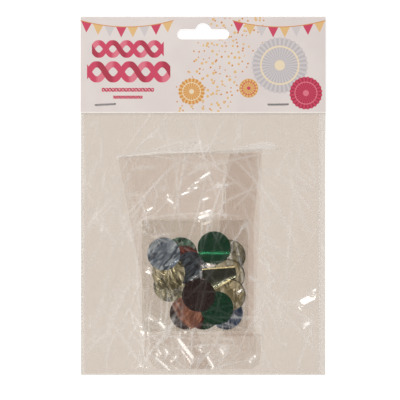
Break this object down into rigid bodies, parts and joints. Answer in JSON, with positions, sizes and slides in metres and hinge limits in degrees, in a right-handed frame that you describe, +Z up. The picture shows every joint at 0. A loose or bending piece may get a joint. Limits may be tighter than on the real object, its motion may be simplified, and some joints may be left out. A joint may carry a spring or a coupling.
{
  "type": "header-card pack with a folded clear bubble balloon and a sachet of foil confetti",
  "caption": "Stapled header card with a hang slot over a clear film bag that holds a flat folded bubble balloon and a small sachet of round foil confetti; lies on its back.",
  "frame": {"origin": "middle of the pack's outline on the surface it lies on", "axes": "+Z up, out of the printed front; +Y towards the fold of the header card; +X to the right seen from the front"},
  "size_m": [0.15, 0.2196, 0.0066],
  "materials": {
    "card": "satin",
    "clear_film": "gloss",
    "balloon_film": "gloss",
    "steel": "satin",
    "gold_foil": "gloss",
    "green_foil": "gloss",
    "blue_foil": "gloss",
    "silver_foil": "gloss",
    "red_foil": "gloss",
    "copper_foil": "gloss",
    "maroon_foil": "gloss"
  },
  "bodies": {
    "root": {"header_card": "card", "bag": "clear_film", "staple_left": "steel", "staple_right": "steel", "balloon": "balloon_film", "confetti_sachet": "clear_film", "confetti_gold_upper": "gold_foil", "confetti_gold_middle": "gold_foil", "confetti_gold_lower": "gold_foil", "confetti_gold_left": "gold_foil", "confetti_gold_curled": "gold_foil", "confetti_blue_lower": "blue_foil", "confetti_navy": "blue_foil", "confetti_blue_upper": "blue_foil", "confetti_green_left": "green_foil", "confetti_green_lower": "green_foil", "confetti_green_upper": "green_foil", "confetti_silver": "silver_foil", "confetti_red_left": "red_foil", "confetti_red_lower": "red_foil", "confetti_copper": "copper_foil", "confetti_maroon": "maroon_foil"}
  },
  "joints": []
}
